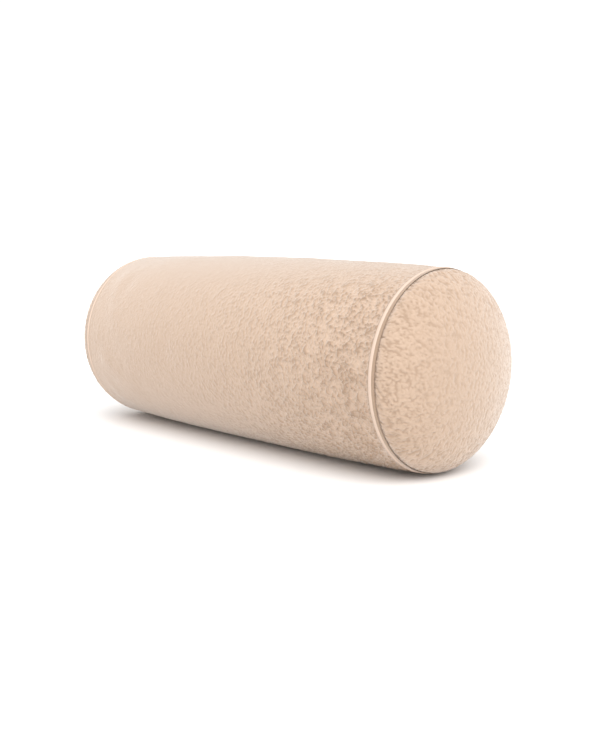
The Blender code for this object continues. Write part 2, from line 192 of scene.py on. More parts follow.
def swollen_form():
    """A plain closed form of the pillow, blown up by the stuffing between its held seams and zip."""
    depth = FORM_DEPTH
    bpy.ops.mesh.primitive_uv_sphere_add(segments=96, ring_count=72, radius=1, rotation=(0, math.pi / 2, 0))
    form = added("form")
    only(form)
    bpy.ops.object.transform_apply(location=True, rotation=True, scale=True)
    ball = points_of(form)
    half = [(x, barrel_radius(x) - depth) for x in np.linspace(0.006, SEAM - TURN_DOWN, 30)]
    half += shoulder(-1)[:2]
    half += shoulder(1)[1::-1] + list(map(tuple, dome_line(depth, 24)))
    whole = [(-x, r) for x, r in half[::-1]] + half
    rows = even_rows(whole, 400)
    at = np.arccos(np.clip(-ball[:, 0], -1, 1)) / math.pi * (len(rows) - 1)
    x = np.interp(at, np.arange(len(rows)), rows[:, 0])
    radius = np.interp(at, np.arange(len(rows)), rows[:, 1])
    start = round_the_axis(x, radius, np.arctan2(ball[:, 1], -ball[:, 2]))
    place_points(form, start)
    form.data.remesh_voxel_size = FORM_VOXEL
    bpy.ops.object.voxel_remesh()
    start = points_of(form)
    start[:, 2] = np.maximum(start[:, 2], GROUND)
    place_points(form, start)

    outward = np.empty(start.size)
    form.data.vertices.foreach_get("normal", outward)
    outward = outward.reshape(-1, 3)
    angle = np.arctan2(start[:, 1], AXIS - start[:, 2])
    at_seam = np.abs(np.abs(start[:, 0]) - SEAM) < HELD_AT_SEAM
    at_zip = (np.abs(angle - ZIP_ANGLE) < HELD_AT_ZIP) & (np.abs(start[:, 0]) < SEAM)
    at_floor = start[:, 2] < HELD_AT_FLOOR
    held = form.vertex_groups.new(name="held")
    held.add([int(i) for i in np.flatnonzero(at_seam | at_zip | at_floor)], 1.0, "ADD")
    cloth = form.modifiers.new("Cloth", "CLOTH")
    cloth.settings.vertex_group_mass = "held"
    cloth.settings.use_pressure = True
    cloth.settings.uniform_pressure_force = PRESSURE
    cloth.settings.effector_weights.gravity = 0
    cloth.settings.shrink_min = -CUT_LARGER
    for step in range(1, BLOWING_STEPS + 1):
        bpy.context.scene.frame_set(step)
    bpy.ops.object.modifier_apply(modifier=cloth.name)
    bpy.context.scene.frame_set(1)
    blown = points_of(form)
    swell = ((blown - start) * outward).sum(axis=1)
    swell = np.clip(swell, SWELL_LEAST, SWELL_CAP) * ~at_floor
    moved = start + outward * swell[:, None]
    moved[:, 2] = np.maximum(moved[:, 2], GROUND)
    place_points(form, moved)
    smooth = form.modifiers.new("Smooth", "SMOOTH")
    smooth.iterations = 8
    bpy.ops.object.modifier_apply(modifier=smooth.name)
    finer = form.modifiers.new("Finer", "SUBSURF")
    finer.levels = finer.render_levels = 1
    bpy.ops.object.modifier_apply(modifier=finer.name)
    return form


form = swollen_form()


def smooth_step(low, high, value):
    t = np.clip((value - low) / (high - low), 0, 1)
    return t * t * (3 - 2 * t)


PILE = 0.0026  # from the root of the pile to the crest of its tallest curls
PILE_SINK = 0.0007
MEAN_PILE = 0.42
CURL = 0.0010  # half the width of one curl
CURL_LENGTHS = (0.0015, 0.0045)
CURL_BEND = 320  # how fast a curl turns along its length, in radians for each metre
CURL_SPACING = 0.0020
CREST_LEAST = 0.50  # the crest of the lowest curl, as a share of the tallest
TIP_DROP = 0.45  # how far a curl falls to its two ends
FLANK_DROP = 0.55  # and to its two sides
CELL = 0.00035
PATCH_DEPTH, PATCH_GRAIN = 0.08, 45
MAP_MARGIN = 0.004


def lay_curls(low, high, lay, spacing, seed):
    """Lays curls at random on a flat patch of cloth, each a bent round ridge, and returns their height map.

    `lay` gives, for each place, the way that the curls lie there and how far they stray from it.
    """
    draw = np.random.default_rng(seed)
    low, high = np.array(low), np.array(high)
    count = int(np.prod(high - low) / spacing**2)
    middle = low + draw.random((count, 2)) * (high - low)
    heading, stray = lay(middle)
    heading = heading + stray * draw.normal(size=count)
    bend = draw.normal(size=count) * CURL_BEND
    length = draw.uniform(*CURL_LENGTHS, count)
    crest = draw.uniform(CREST_LEAST, 1.0, count)
    cells = np.ceil((high - low) / CELL).astype(int) + 1
    heights = np.zeros(cells[0] * cells[1])
    reach = int(CURL / CELL) + 1
    for part in np.linspace(-0.5, 0.5, 9):
        run = part * length
        turn = heading + bend * run / 2
        point = (middle - low + np.stack([np.cos(turn), np.sin(turn)], 1) * run[:, None]) / CELL
        level = crest - TIP_DROP * abs(2 * part) ** 3
        corner = np.round(point).astype(int)
        for across in range(-reach, reach + 1):
            for down in range(-reach, reach + 1):
                cell = corner + (across, down)
                off = np.linalg.norm(cell - point, axis=1) * CELL / CURL
                inside = (off < 1) & (cell >= 0).all(1) & (cell < cells).all(1)
                ridge = level[inside] - FLANK_DROP * (1 - np.sqrt(1 - off[inside] ** 2))
                np.maximum.at(heights, cell[inside, 0] * cells[1] + cell[inside, 1], ridge)
    heights = heights.reshape(cells)
    heights[1:-1] = (heights[:-2] + 2 * heights[1:-1] + heights[2:]) / 4
    heights[:, 1:-1] = (heights[:, :-2] + 2 * heights[:, 1:-1] + heights[:, 2:]) / 4
    return heights


def read_map(heights, low, places):
    at = np.clip((places - low) / CELL, 0, np.array(heights.shape) - 1.001)
    cell = at.astype(int)
    u, v = (at - cell).T
    i, j = cell.T
    near = heights[i, j] * (1 - v) + heights[i, j + 1] * v
    far = heights[i + 1, j] * (1 - v) + heights[i + 1, j + 1] * v
    return near * (1 - u) + far * u


def raise_pile(piece, heights, clear, combed):
    """Raises the curls on a panel. They are cut away where `clear` is 0, and flattened as `combed` says."""
    mask = clear * combed
    piece.data.update()
    places = points_of(piece)
    normals = np.empty(len(places) * 3)
    piece.data.vertices.foreach_get("normal", normals)
    patches = np.array([noise.noise(Vector(p) * PATCH_GRAIN) for p in places])
    tall = np.clip(heights + PATCH_DEPTH * patches, 0, 1.2)
    places += normals.reshape(-1, 3) * ((PILE * tall - PILE_SINK) * mask)[:, None]
    places[:, 2] = np.maximum(places[:, 2], panel_low[2])
    place_points(piece, places)
    # The 'pile' attribute that colours the fleece follows the curls' height, so the colour is darker down
    # between them: painted shade. Where `clear` is low it also falls to the dark root colour, in the groove
    # by the piping, in the seam and beside the zip: painted shade there too.
    layer = piece.data.attributes.new("pile", "FLOAT", "POINT")
    pile_tone_with_painted_shade = (MEAN_PILE + (tall - MEAN_PILE) * np.minimum(combed, 1)) * smooth_step(0, 0.35, clear)
    layer.data.foreach_set("value", pile_tone_with_painted_shade)


def follow_form(piece, weights):
    """Brings a panel onto the swollen form, as far as its weights say."""
    group = piece.vertex_groups.new(name="free")
    levels = 100
    for level in range(1, levels + 1):
        chosen = np.flatnonzero(np.round(weights * levels) == level)
        if len(chosen):
            group.add([int(i) for i in chosen], level / levels, "REPLACE")
    wrap = piece.modifiers.new("Wrap", "SHRINKWRAP")
    wrap.wrap_method = "PROJECT"
    wrap.use_negative_direction = True
    wrap.use_positive_direction = True
    wrap.project_limit = 0.008
    wrap.target = form
    wrap.vertex_group = group.name
    only(piece)
    bpy.ops.object.modifier_apply(modifier=wrap.name)
    piece.vertex_groups.clear()


def select_edges(piece, chosen):
    """In edit mode, selects the boundary edges whose middle is chosen."""
    bpy.ops.mesh.select_mode(type="EDGE")
    bpy.ops.mesh.select_all(action="DESELECT")
    edges = bmesh.from_edit_mesh(piece.data)
    for edge in edges.edges:
        if edge.is_boundary and chosen((edge.verts[0].co + edge.verts[1].co) / 2):
            edge.select_set(True)
    bmesh.update_edit_mesh(piece.data)


# The body panel: one rectangle of fleece, rolled into a tube. Its long edges meet in the zip's seam,
# where they are turned under, and its short edges are turned in at the piping.
BODY_ROUND, BODY_ALONG = 960, 640
LINING_ROUND, LINING_ALONG = 96, 60


def lip_offset(x):
    """How far the folded edge stands from the middle of the zip's seam at x."""
    return LIP * smooth_step(ZIP_HALF_LENGTH, ZIP_HALF_LENGTH - 0.009, np.abs(x))


def roll_panel(piece, rows, edge_depth):
    """Rolls a flat grid, which spans -1 to 1 both ways, into the tube, with the zip's seam turned in."""
    flat = points_of(piece)
    at = (flat[:, 0] + 1) / 2 * (len(rows) - 1)
    x = np.interp(at, np.arange(len(rows)), rows[:, 0])
    radius = np.interp(at, np.arange(len(rows)), rows[:, 1])
    side = np.where(flat[:, 1] < 0, -1, 1)
    run = (1 - np.abs(flat[:, 1])) * math.pi * MIDDLE_RADIUS  # from the zip's seam, round the pillow
    turned_in = np.exp(-((run / 0.0013) ** 2))
    lip = lip_offset(x) * np.clip(1 - run / 0.05, 0, 1)
    away = run * (1 - 0.75 * turned_in) + lip
    places = round_the_axis(x, radius - edge_depth * turned_in, ZIP_ANGLE - side * away / MIDDLE_RADIUS)
    place_points(piece, settled(places, ZIP_FACET))
    return x, run, np.stack([at * np.linalg.norm(rows[1] - rows[0]), side * run], 1)


half = [(x, barrel_radius(x) - GROUND) for x in np.linspace(0, SEAM - TURN_DOWN, 30)] + shoulder(-1)
outline = [(-x, r) for x, r in half[:0:-1]] + half
bpy.ops.mesh.primitive_grid_add(x_subdivisions=BODY_ALONG, y_subdivisions=BODY_ROUND, size=2)
body = added("cover_body")
x, run, cloth = roll_panel(body, even_rows(outline, BODY_ALONG + 1), 0.0020)
free = smooth_step(0.010, 0.035, SEAM - np.abs(x)) * smooth_step(0.003, 0.03, run)
follow_form(body, free)
# Where the pile is cut low or lies down, its colour also falls to the dark root colour: painted shade in the
# groove by the piping, into the seam, beside the zip and round the care label.
standing = smooth_step(PIPING - 0.0008, PIPING + 0.0014, SEAM - np.abs(x))
beside_zip = 0.06 + 0.94 * smooth_step(0.0022, 0.0070, run)  # trimmed, to let the slider pass
standing *= np.where(np.abs(x) < ZIP_HALF_LENGTH, beside_zip, 1.0)
standing *= 0.15 + 0.85 * smooth_step(0.0003, 0.0030, run)  # and it lies down into the seam
# the pile lies flatter towards the far end, and is smoothed down along the top
combed = 0.14 + 0.84 * np.clip((x + 0.12) / 0.31, 0, 1) ** 2.3
label_low, label_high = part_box("care_label")
places = points_of(body)
combed *= 1 - 0.75 * smooth_step(0.160, 0.192, places[:, 2])
near_label = (places > np.array(label_low) - 0.003) & (places < np.array(label_high) + 0.003)
standing[near_label[:, [0, 2]].all(1) & (places[:, 1] > 0)] *= 0.1


def round_the_pillow(middle):
    """The body's curls lie round the pillow, in rough rows."""
    return np.full(len(middle), math.pi / 2), 0.8


edge = (-MAP_MARGIN, -math.pi * MIDDLE_RADIUS - MAP_MARGIN)
far_edge = (cloth[:, 0].max() + MAP_MARGIN, -edge[1])
curls = lay_curls(edge, far_edge, round_the_pillow, CURL_SPACING, 11)
raise_pile(body, read_map(curls, edge, cloth), standing, combed)

BACKING = 0.0030
half = [(x, barrel_radius(x) - BACKING) for x in np.linspace(0, SEAM - 0.0105, 12)]
half += [(SEAM - 0.0058, PIPING_RADIUS - 0.0018)]
half += [(SEAM - 0.0034, 0.0882), (SEAM - 0.0031, 0.0870), (SEAM - 0.0031, PANEL_EDGE)]
outline = [(-x, r) for x, r in half[:0:-1]] + half
bpy.ops.mesh.primitive_grid_add(x_subdivisions=LINING_ALONG, y_subdivisions=LINING_ROUND, size=2)
lining = added("body_lining")
roll_panel(lining, even_rows(outline, LINING_ALONG + 1), 0.0002)


def close_panel(name, outer, inner, rims, weld):
    """Joins a panel's pile side to its knitted back along each rim.

    The ends close fully. The body panel doesn't: its bridges leave a strip of faces across the zip's
    slot and a disc across each mouth of the tube, and its folded lips stay open at the back.
    """
    for half_panel in (outer, inner):
        only(half_panel)
        bpy.ops.object.mode_set(mode="EDIT")
        bpy.ops.mesh.select_all(action="SELECT")
        if weld:
            bpy.ops.mesh.remove_doubles(threshold=1e-5)
        bpy.ops.mesh.normals_make_consistent(inside=half_panel is inner)
        bpy.ops.object.mode_set(mode="OBJECT")
    only(inner)
    outer.select_set(True)
    bpy.context.view_layer.objects.active = outer
    bpy.ops.object.join()
    bpy.ops.object.mode_set(mode="EDIT")
    for rim in rims:
        select_edges(outer, rim)
        bpy.ops.mesh.bridge_edge_loops()
    bpy.ops.mesh.select_all(action="SELECT")
    bpy.ops.mesh.normals_make_consistent(inside=False)
    bpy.ops.object.mode_set(mode="OBJECT")
    bpy.ops.object.shade_smooth()
    outer.name = outer.data.name = name
    return outer


cover_body = close_panel(
    "cover_body",
    body,
    lining,
    [
        lambda p: p.x > SEAM - 0.005,
        lambda p: p.x < -SEAM + 0.005,
        lambda p: abs(p.x) < SEAM - 0.02,
    ],
    weld=True,
)
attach(cover_body, "cover")
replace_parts(cover_body, "cover_body_panel")

# The end panels: a round of the same fleece at each end, domed by the wadding pad behind it, with its
# edge turned in at the piping.
END_GRID = 310
LINING_GRID = 24


def cup_panel(piece, rows, side):
    """Cups a flat square grid, which spans -1 to 1 both ways, into a dome whose rim is its four edges."""
    flat = points_of(piece)
    a, b = flat[:, 0], flat[:, 1]
    out = np.maximum(np.abs(a), np.abs(b))
    wide = np.abs(a) >= np.abs(b)
    safe = np.where(wide, np.where(a == 0, 1, a), np.where(b == 0, 1, b))
    from_x = np.where(a < 0, math.pi, 0) + math.pi / 4 * b / safe
    from_y = np.where(b < 0, -1, 1) * math.pi / 2 - math.pi / 4 * a / safe
    angle = np.where(wide, from_x, from_y)
    at = (1 - out) * (len(rows) - 1)
    x = np.interp(at, np.arange(len(rows)), rows[:, 0])
    radius = np.interp(at, np.arange(len(rows)), rows[:, 1])
    places = round_the_axis(side * x, radius, side * angle)
    places[:, 2] = np.maximum(places[:, 2], GROUND)
    place_points(piece, places)
    run = out * (len(rows) - 1) * np.linalg.norm(rows[1] - rows[0])
    return x, run[:, None] * np.stack([np.cos(angle), np.sin(angle)], 1)


def from_the_middle(middle):
    """An end's curls lie any way in the middle, and away from the middle beside the piping."""
    out = np.linalg.norm(middle, axis=1)
    return np.arctan2(middle[:, 1], middle[:, 0]), 3.0 - 2.2 * smooth_step(0.06, 0.10, out)


for end, side in (("right", 1), ("left", -1)):
    outline = shoulder(1)[::-1] + [tuple(p) for p in dome_line(GROUND, 30)]
    bpy.ops.mesh.primitive_grid_add(x_subdivisions=END_GRID, y_subdivisions=END_GRID, size=2)
    panel = added("end_pile")
    x, cloth = cup_panel(panel, even_rows(outline, END_GRID // 2 + 1), side)
    free = smooth_step(0.008, 0.030, x - SEAM)
    follow_form(panel, free)
    only(panel)
    bpy.ops.object.mode_set(mode="EDIT")
    bpy.ops.mesh.select_all(action="SELECT")
    bpy.ops.mesh.normals_make_consistent(inside=False)
    bpy.ops.object.mode_set(mode="OBJECT")
    # Where the pile is cut away by the piping, its colour also falls to the dark root colour: painted shade
    # in the groove.
    standing = smooth_step(PIPING - 0.0004, PIPING + 0.0030, x - SEAM)
    combed = 0.24 + 0.26 * smooth_step(0.03, 0.11, np.linalg.norm(cloth, axis=1))
    reach = np.abs(cloth).max() + MAP_MARGIN
    curls = lay_curls((-reach, -reach), (reach, reach), from_the_middle, CURL_SPACING, 20 + side)
    raise_pile(panel, read_map(curls, (-reach, -reach), cloth), standing, combed)

    outline = [(SEAM + 0.0031, PANEL_EDGE), (SEAM + 0.0031, 0.0870), (SEAM + 0.0034, 0.0882)]
    outline += [(SEAM + 0.0055, PIPING_RADIUS - 0.0020)]
    outline += [tuple(p) for p in dome_line(BACKING, 14)]
    bpy.ops.mesh.primitive_grid_add(x_subdivisions=LINING_GRID, y_subdivisions=LINING_GRID, size=2)
    lining = added("end_lining")
    cup_panel(lining, even_rows(outline, LINING_GRID // 2 + 1), side)
    end_panel = close_panel(f"cover_end_{end}", panel, lining, [lambda p: True], weld=False)
    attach(end_panel, "cover")
    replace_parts(end_panel, f"cover_end_panel_{end}")

bpy.data.objects.remove(form)


class Field:
    """A shader socket that takes part in sums. Each operation adds a Math node."""

    def __init__(self, finish, socket):
        self.finish, self.socket = finish, socket

    def math(self, operation, *values):
        made = self.finish.node("ShaderNodeMath", {"operation": operation}, dict(enumerate(values)))
        return Field(self.finish, made.outputs[0])

    def __add__(self, other):
        return self.math("ADD", self, other)

    def __sub__(self, other):
        return self.math("SUBTRACT", self, other)

    def __rsub__(self, other):
        return self.math("SUBTRACT", other, self)

    def __mul__(self, other):
        return self.math("MULTIPLY", self, other)

    __radd__, __rmul__ = __add__, __mul__

    def wave(self):
        return self.math("SINE", self)


class Finish:
    """A material with one Principled shader, and the few kinds of node that its patterns need."""

    def __init__(self, name, uniform):
        self.material = bpy.data.materials.new(name)
        self.material.use_nodes = True
        self.tree = self.material.node_tree
        self.shader = self.tree.nodes["Principled BSDF"]
        for socket, value in uniform.items():
            self.shader.inputs[socket].default_value = value

    def node(self, kind, settings, values):
        """Any node: its settings first, then the values or links of its sockets."""
        made = self.tree.nodes.new(kind)
        for key, value in settings.items():
            setattr(made, key, value)
        for key, value in values.items():
            if isinstance(value, Field):
                self.tree.links.new(value.socket, made.inputs[key])
            else:
                made.inputs[key].default_value = value
        return made

    def field(self, kind, settings, values, output=0):
        return Field(self, self.node(kind, settings, values).outputs[output])

    def place(self):
        return self.field("ShaderNodeTexCoord", {}, {}, "Object")

    def grain(self, scale, detail=2.0, distortion=0.0, place=None):
        """Soft noise from 0 to 1, with its scale in features for each metre."""
        at = place or self.place()
        values = {"Vector": at, "Scale": scale, "Detail": detail, "Distortion": distortion}
        return self.field("ShaderNodeTexNoise", {}, values, "Fac")

    def mixed(self, factor, low, high):
        made = self.node("ShaderNodeMix", {"data_type": "RGBA"}, {0: factor, 6: low, 7: high})
        return Field(self, made.outputs[2])

    def feed(self, socket, value):
        self.tree.links.new(value.socket, self.shader.inputs[socket])

    def bump(self, height, distance, strength=1.0):
        values = {"Strength": strength, "Distance": distance, "Height": height}
        self.feed("Normal", self.field("ShaderNodeBump", {}, values))

    def round_place(self):
        """The place as a distance along the pillow and one round it."""
        parts = self.node("ShaderNodeSeparateXYZ", {}, {0: self.place()})
        x, y, z = (Field(self, parts.outputs[i]) for i in range(3))
        return x, y.math("ARCTAN2", y, z - AXIS) * PIPING_RADIUS

    def weave(self, thread, depth):
        """Threads that cross over and under."""
        along, around = self.round_place()
        over = (along * (math.tau / thread)).wave() * (around * (math.tau / thread)).wave()
        self.bump(over, depth, 0.8)

    def ribs(self, pitch, depth):
        along, around = self.round_place()
        self.bump((around * (math.tau / pitch)).wave(), depth, 0.8)

    def herringbone(self, rib, thread, depth):
        """Slanting threads, which turn back at each rib of the tape."""
        turned = {"Vector": self.place(), "Location": (0, 0, -AXIS)}
        shifted = self.field("ShaderNodeMapping", {}, turned)
        level = {"Vector": shifted, "Rotation": (math.pi - ZIP_ANGLE, 0, 0)}
        parts = self.node("ShaderNodeSeparateXYZ", {}, {0: self.field("ShaderNodeMapping", {}, level)})
        along, across = (Field(self, parts.outputs[i]) for i in range(2))
        slant = across.math("PINGPONG", across, rib)
        self.bump(((along + slant) * (math.tau / thread)).wave(), depth, 0.8)

    def put_on(self, *pieces):
        for piece in pieces:
            piece.data.materials.clear()
            piece.data.materials.append(self.material)


def fleece_finish():
    uniform = {
        "Roughness": 0.95,
        "Specular IOR Level": 0.15,
        "Sheen Weight": 0.9,
        "Sheen Roughness": 0.45,
        "Sheen Tint": (1.0, 0.96, 0.92, 1.0),
    }
    made = Finish("fleece", uniform)
    pile = made.field("ShaderNodeAttribute", {"attribute_name": "pile"}, {}, "Fac")
    patches = made.grain(38.0, 2.0)
    fibres = made.grain(1100.0, 3.0, 1.2)
    # The colour runs from the dark root colour to the light tip colour with the 'pile' attribute, so it
    # darkens between the curls and in the grooves: painted shade. The patches and fibres are the fleece's own
    # uneven colour.
    tone_with_painted_shade = (pile - 0.06) * 1.4 + patches * 0.06 + fibres * 0.10 - 0.10
    colour = made.mixed(tone_with_painted_shade, (0.355, 0.245, 0.17, 1), (0.555, 0.41, 0.31, 1))
    made.feed("Base Color", colour)
    made.bump(fibres, 0.0006, 0.7)
    return made


fleece_finish().put_on(*[o for o in bpy.data.objects if o.name.startswith("cover_") and "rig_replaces" in o])

# The piping: at each seam, a strip of satin cut on the bias, folded round a cotton cord and caught in
# the seam by its two edges.
PIPING_STEPS = 288
STRIP = 0.0006
EDGE = 0.0840


def spun(name, outline, steps, closed=True):
    """Turns an outline of (x, radius) points about the pillow's axis into one closed piece."""
    bpy.ops.mesh.primitive_circle_add(vertices=len(outline), fill_type="NOTHING")
    piece = added(name)
    place_points(piece, [(x, 0.0, AXIS - radius) for x, radius in outline])
    only(piece)
    bpy.ops.object.mode_set(mode="EDIT")
    if not closed:
        bpy.ops.mesh.select_mode(type="EDGE")
        bpy.ops.mesh.select_all(action="DESELECT")
        ring = bmesh.from_edit_mesh(piece.data)
        for edge in ring.edges:
            if {v.index for v in edge.verts} == {0, len(outline) - 1}:
                edge.select_set(True)
        bmesh.update_edit_mesh(piece.data)
        bpy.ops.mesh.delete(type="EDGE")
    bpy.ops.mesh.select_all(action="SELECT")
    bpy.ops.mesh.spin(steps=steps, angle=math.tau, center=(0, 0, AXIS), axis=(1, 0, 0))
    bpy.ops.mesh.select_all(action="SELECT")
    bpy.ops.mesh.remove_doubles(threshold=1e-5)
    bpy.ops.mesh.normals_make_consistent(inside=False)
    bpy.ops.object.mode_set(mode="OBJECT")
    bpy.ops.object.shade_smooth()
    return piece


def strip_outline(middle):
    """The folded strip's section, with its slit and its two edges turned down into the seam."""

    def loop(radius, mouth, count):
        start = math.asin(mouth / radius)
        angles = np.linspace(start, math.tau - start, count)
        return [(middle - radius * math.sin(a), PIPING_RADIUS - radius * math.cos(a)) for a in angles]

    slit = 0.00015
    outside = loop(PIPING, slit + STRIP, 26)
    inside = loop(PIPING - STRIP, slit, 16)
    tail = [(middle - slit - STRIP, EDGE)]
    back = [(middle + slit + STRIP, EDGE), (middle + slit, EDGE)]
    return tail + outside + back + inside[::-1] + [(middle - slit, EDGE)]


satin_look = {"Base Color": (0.61, 0.475, 0.385, 1), "Roughness": 0.7, "Specular IOR Level": 0.15}
satin = Finish("piping_cloth", satin_look)
satin.bump(satin.grain(1500.0, 2.0), 0.0002, 0.4)
for end, side in (("right", 1), ("left", -1)):
    sleeve = spun(f"piping_{end}", strip_outline(side * SEAM), PIPING_STEPS)
    satin.put_on(sleeve)
    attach(sleeve, "cover")
    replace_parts(sleeve, f"piping_sleeve_{end}")

# The piping's cord: soft cotton, three strands twisted together, inside each satin strip.
CORD_STRANDS, CORD_TWISTS = 3, 28
cotton = Finish("cotton", {"Base Color": (0.80, 0.77, 0.70, 1), "Roughness": 0.9, "Sheen Weight": 0.2})
cotton.weave(0.0009, 0.00012)
for end, side in (("right", 1), ("left", -1)):
    low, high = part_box(f"piping_cord_{end}")
    thick = (high[0] - low[0]) / 2
    bpy.ops.mesh.primitive_torus_add(
        major_radius=PIPING_RADIUS,
        minor_radius=thick,
        major_segments=320,
        minor_segments=15,
        rotation=(0, math.pi / 2, 0),
    )
    cord = added(f"piping_cord_core_{end}")
    only(cord)
    bpy.ops.object.transform_apply(location=True, rotation=True, scale=True)
    ring = points_of(cord)
    round_it = np.arctan2(ring[:, 1], ring[:, 2])
    out = np.hypot(ring[:, 1], ring[:, 2]) - PIPING_RADIUS
    section = np.arctan2(ring[:, 0], out) * CORD_STRANDS / 2
    groove = 0.86 + 0.13 * np.abs(np.cos(section + CORD_TWISTS * CORD_STRANDS / 2 * round_it))
    radius = PIPING_RADIUS + out * groove
    along = ring[:, 0] * groove + side * SEAM
    place_points(cord, np.stack([along, radius * np.sin(round_it), AXIS + radius * np.cos(round_it)], 1))
    bpy.ops.object.shade_smooth()
    cotton.put_on(cord)
    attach(cord, "cover")
    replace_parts(cord, f"piping_cord_{end}")

# The zip: two woven tapes sewn behind the slot in the body panel, each with a nylon coil sewn along
# its inner edge. It is drawn in its own frame: X along it, Y down the cover, Z out of the pillow.
zip_place = Matrix.Translation((0, 0, AXIS)) @ Matrix.Rotation(ZIP_ANGLE - math.pi, 4, "X")


def zip_box(node):
    """A zip part's lowest and highest corners, in the zip's own frame."""
    flat = zip_place.inverted()
    places = np.array([flat @ v.co for v in frame["nodes"][node].data.vertices])
    return places.min(0), places.max(0)


def ride_in_zip(piece, body, node, finish):
    """Puts a piece that was drawn in the zip's frame in its place on the pillow."""
    piece.data.transform(zip_place)
    piece.data.update()
    finish.put_on(piece)
    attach(piece, body)
    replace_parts(piece, node)


RIB = 0.0011  # the width of one row of the tape's herringbone
tape_look = {"Base Color": (0.47, 0.345, 0.255, 1), "Roughness": 0.85, "Sheen Weight": 0.15}
tape_cloth = Finish("zip_tape", tape_look)
tape_cloth.herringbone(RIB, 0.0005, 0.00012)
for row, side in (("upper", -1), ("lower", 1)):
    low, high = zip_box(f"zip_tape_{row}")
    bpy.ops.mesh.primitive_grid_add(x_subdivisions=170, y_subdivisions=36, size=2)
    tape = added(f"zip_cloth_{row}")
    only(tape)
    flat = points_of(tape)
    along = (low[0] + high[0]) / 2 + flat[:, 0] * (high[0] - low[0]) / 2
    across = (low[1] + high[1]) / 2 + flat[:, 1] * (high[1] - low[1]) / 2
    ribs = 0.00006 * np.cos(math.tau * across / RIB)
    place_points(tape, np.stack([along, across, high[2] - 0.00008 + ribs], 1))
    thickness = tape.modifiers.new("Thickness", "SOLIDIFY")
    thickness.thickness = high[2] - low[2] - 0.0002
    bpy.ops.object.modifier_apply(modifier=thickness.name)
    bpy.ops.object.shade_smooth_by_angle(angle=math.radians(50))
    ride_in_zip(tape, "cover", f"zip_tape_{row}", tape_cloth)

# The coils: one nylon filament wound into a flat spiral on each tape. Their turns mesh where the zip is
# closed.
# The slider parts them, and on its open side they lie drawn back to their tapes.
WIRE = 0.00031
TURN = 0.0020
MESHED = 0.00055  # how far each coil reaches past the middle where they mesh
TURN_POINTS = 10
nylon = Finish("nylon", {"Roughness": 0.38, "Coat Weight": 0.1})
nylon_colour = nylon.mixed(nylon.grain(300.0, 1.0), (0.68, 0.55, 0.44, 1), (0.74, 0.60, 0.48, 1))
nylon.feed("Base Color", nylon_colour)
slider_high = zip_box("zip_slider_body")[1]
for row, side in (("upper", -1), ("lower", 1)):
    low, high = zip_box(f"zip_coil_{row}")
    inner, outer = sorted((abs(low[1]), abs(high[1])))
    turns = int((high[0] - low[0] - 0.002) / TURN)
    line = bpy.data.curves.new(f"coil_{row}", "CURVE")
    line.dimensions = "3D"
    line.bevel_depth = WIRE
    line.bevel_resolution = 1
    line.use_fill_caps = True
    spline = line.splines.new("POLY")
    spline.points.add(turns * TURN_POINTS - 1)
    for i, point in enumerate(spline.points):
        turn = i / TURN_POINTS
        angle = math.tau * turn
        x = low[0] + 0.001 + TURN * (turn - math.sin(angle) / math.tau + (0.5 if side > 0 else 0.0))
        reach = inner - (inner + MESHED) * float(smooth_step(0.004, 0.010, x - slider_high[0]))
        half_width = (outer - reach) / 2 - WIRE
        y = (outer + reach) / 2 - half_width * math.cos(angle)
        z = (low[2] + high[2]) / 2 + ((high[2] - low[2]) / 2 - WIRE) * math.sin(angle)
        point.co = (x, side * y, z, 1)
    bpy.ops.object.select_all(action="DESELECT")
    drawn = bpy.data.objects.new(f"zip_teeth_{row}", line)
    bpy.context.scene.collection.objects.link(drawn)
    only(drawn)
    bpy.ops.object.convert(target="MESH")
    coil = added(f"zip_teeth_{row}")
    bpy.ops.object.shade_smooth()
    ride_in_zip(coil, "cover", f"zip_coil_{row}", nylon)
    anchor = zip_place @ Vector((0, side * outer, low[2]))
    (outer - inner) / (outer + MESHED)
    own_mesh(coil)

# The zip's metal: a slider with a crown and a pull tab, a stop at the end where the tapes stay joined,
# and a stop on each tape at the other end. All are die-cast or pressed, and plated in satin nickel.
metal = Finish("zip_metal", {"Base Color": (0.60, 0.58, 0.54, 1), "Metallic": 1.0})
metal.feed("Roughness", metal.grain(900.0, 2.0) * 0.16 + 0.22)


def eased_copy(node, name, easing):
    """A CAD part with its triangles merged into whole flats and its edges rounded off."""
    piece = bpy.data.objects.new(name, frame["nodes"][node].data.copy())
    bpy.context.scene.collection.objects.link(piece)
    piece.data.name = name
    only(piece)
    bpy.ops.object.mode_set(mode="EDIT")
    bpy.ops.mesh.select_all(action="SELECT")
    bpy.ops.mesh.remove_doubles(threshold=1e-6)
    bpy.ops.mesh.dissolve_limited(angle_limit=math.radians(1))
    bpy.ops.object.mode_set(mode="OBJECT")
    rounding = piece.modifiers.new("Rounding", "BEVEL")
    rounding.width = easing
    rounding.segments = 2
    rounding.limit_method = "ANGLE"
    rounding.angle_limit = math.radians(35)
    bpy.ops.object.modifier_apply(modifier=rounding.name)
    bpy.ops.object.shade_smooth_by_angle(angle=math.radians(40))
    return piece


METAL_PARTS = (
    ("zip_slider_body", "zip_runner", "zip_slider", 0.00018),
    ("zip_pull_tab", "zip_tab", "zip_pull", 0.00025),
    ("zip_bottom_stop", "zip_end_stop", "cover", 0.00015),
    ("zip_top_stop_upper", "zip_stop_upper", "cover", 0.00015),
    ("zip_top_stop_lower", "zip_stop_lower", "cover", 0.00015),
)
for node, name, rides_on, easing in METAL_PARTS:
    part = eased_copy(node, name, easing)
    metal.put_on(part)
    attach(part, rides_on)
    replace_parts(part, node)

